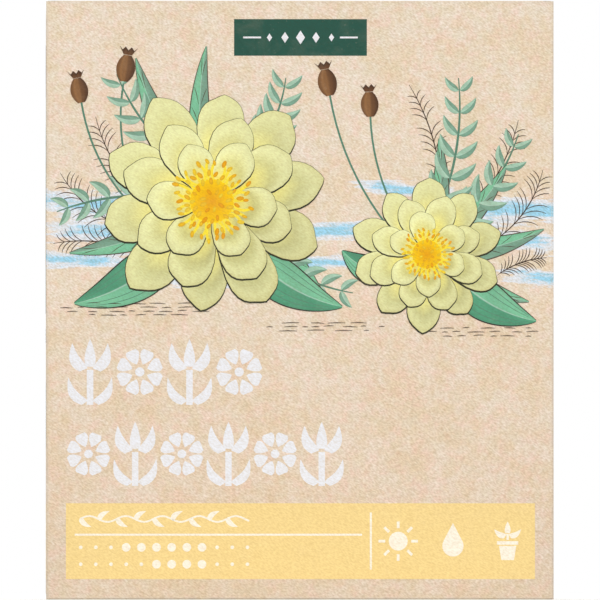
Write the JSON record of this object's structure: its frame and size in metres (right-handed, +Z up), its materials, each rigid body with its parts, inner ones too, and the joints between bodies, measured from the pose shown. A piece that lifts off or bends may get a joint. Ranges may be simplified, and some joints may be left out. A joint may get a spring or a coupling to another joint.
{
  "type": "printed folding carton",
  "caption": "Upright tuck-top folding carton for a small potted plant, with a creased lid, a tuck flap and dust flaps that fold open.",
  "frame": {"origin": "centre of the carton's underside", "axes": "+Z up along the carton's height, the printed front faces -Y, the carton's own left side faces -X as seen from the front"},
  "size_m": [0.144, 0.1, 0.17],
  "materials": {
    "printed_board": "matte, felt-grained printed paper face on micro-flute board",
    "flap_board": "matte, plain kraft face"
  },
  "bodies": {
    "carton": {"carton_body": "printed_board"},
    "lid": {"lid_panel": "printed_board"},
    "tuck": {"tuck_flap": "flap_board"},
    "dust_left": {"dust_flap_left": "flap_board"},
    "dust_right": {"dust_flap_right": "flap_board"}
  },
  "joints": [
    {"name": "lid_crease", "type": "hinge", "parent": "carton", "child": "lid", "pos_m": [0, 0.0494, 0.1694], "axis": [-1, 0, 0], "range_deg": [0, 175]},
    {"name": "tuck_crease", "type": "hinge", "parent": "lid", "child": "tuck", "pos_m": [0, -0.0473, 0.1694], "axis": [1, 0, 0], "range_deg": [0, 27]},
    {"name": "dust_crease_left", "type": "hinge", "parent": "carton", "child": "dust_left", "pos_m": [-0.0714, 0, 0.1679], "axis": [0, -1, 0], "range_deg": [0, 88]},
    {"name": "dust_crease_right", "type": "hinge", "parent": "carton", "child": "dust_right", "pos_m": [0.0714, 0, 0.1679], "axis": [0, 1, 0], "range_deg": [0, 88]}
  ],
  "couplings": [
    {"joint": "tuck_crease", "follows": "lid_crease", "ratio": 0.15},
    {"joint": "dust_crease_left", "follows": "lid_crease", "ratio": 0.5},
    {"joint": "dust_crease_right", "follows": "lid_crease", "ratio": 0.5}
  ]
}
